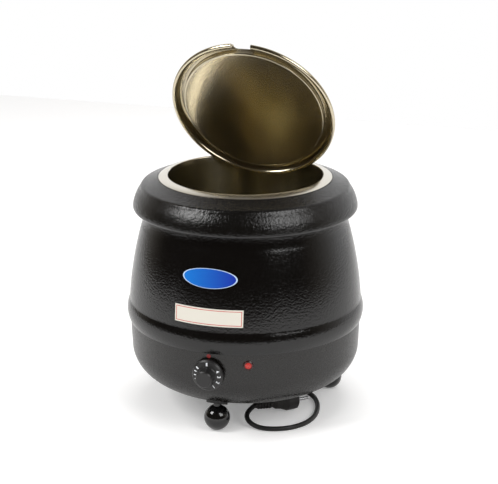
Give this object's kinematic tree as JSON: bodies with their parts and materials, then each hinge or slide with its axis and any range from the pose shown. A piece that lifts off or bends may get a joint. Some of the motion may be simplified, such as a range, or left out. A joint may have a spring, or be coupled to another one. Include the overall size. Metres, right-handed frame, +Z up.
{
  "type": "soup kettle",
  "caption": "Round electric soup kettle with a lift-off pot and collar ring, a hinged notched lid, a heat dial and ball feet.",
  "frame": {"origin": "centre of the kettle on the surface that it stands on", "axes": "+Z up along the pot's axis, -Y towards the control knob, +X to the right seen from the front"},
  "size_m": [0.3465, 0.3657, 0.5337],
  "materials": {
    "shell_paint": "gloss black fine-textured paint",
    "stainless": "brushed and polished",
    "pan_steel": "plain drawn sheet",
    "fasteners": "zinc plated",
    "black_plastic": "glossy moulded",
    "black_rubber": "matte",
    "lead_sheath": "satin",
    "element_steel": "heat darkened",
    "copper": "plain",
    "cream_plastic": "matte",
    "red_lens": "translucent red",
    "red_mark": "printed",
    "white_plate": "satin",
    "blue_badge": "gloss",
    "white_mark": "printed"
  },
  "bodies": {
    "body": {"upper_shell": "shell_paint", "lower_shell": "shell_paint", "base_plate": "pan_steel", "base_screws": "fasteners", "foot_front": "black_plastic", "foot_rear_right": "black_plastic", "foot_rear_left": "black_plastic", "foot_pads": "black_rubber", "foot_nuts": "fasteners", "water_pan": "pan_steel", "pan_gasket": "black_rubber", "pan_studs": "fasteners", "heater_ring": "element_steel", "heater_clamp": "pan_steel", "heat_shield": "pan_steel", "stud_nuts": "fasteners", "sensor_bulb": "copper", "capillary": "copper", "thermal_cutout": "cream_plastic", "control_bracket": "fasteners", "thermostat_body": "cream_plastic", "lamp_lens": "red_lens", "lamp_bezel": "black_plastic", "lamp_body": "cream_plastic", "terminal_block": "cream_plastic", "index_mark": "red_mark", "name_plate": "white_plate", "badge_plate": "blue_badge", "cord_gland": "black_rubber", "cord_lead": "lead_sheath", "cord_coil": "lead_sheath", "cord_loop": "lead_sheath", "plug_relief": "black_rubber", "plug_body": "black_rubber", "plug_pins": "fasteners"},
    "top": {"collar_ring": "shell_paint", "seat_ring": "shell_paint", "soup_pot": "stainless", "hinge_bracket": "stainless", "bracket_screws": "fasteners", "link_pin": "fasteners"},
    "link": {"hinge_link": "stainless", "lid_pin": "fasteners"},
    "lid": {"lid_shell": "stainless", "lid_arm": "stainless", "arm_rivets": "fasteners", "lid_knob": "black_plastic", "lid_screw": "fasteners"},
    "knob": {"control_knob": "black_plastic", "knob_pointer": "white_mark", "thermostat_shaft": "fasteners"}
  },
  "joints": [
    {"name": "top_lift", "type": "slide", "parent": "body", "child": "top", "axis": [0, 0, 1], "range_m": [0, 0.25]},
    {"name": "link_swing", "type": "hinge", "parent": "top", "child": "link", "pos_m": [0, 0.129, 0.3786], "axis": [1, 0, 0], "range_deg": [-170.8, 0]},
    {"name": "lid_pivot", "type": "hinge", "parent": "link", "child": "lid", "pos_m": [0, 0.1377, 0.35], "axis": [1, 0, 0], "range_deg": [0, 233.8]},
    {"name": "knob_turn", "type": "hinge", "parent": "body", "child": "knob", "pos_m": [0.002, -0.1674, 0.1], "axis": [0, -1, 0], "range_deg": [0, 280]}
  ],
  "couplings": [
    {"joint": "link_swing", "follows": "lid_pivot", "ratio": -0.73054}
  ]
}
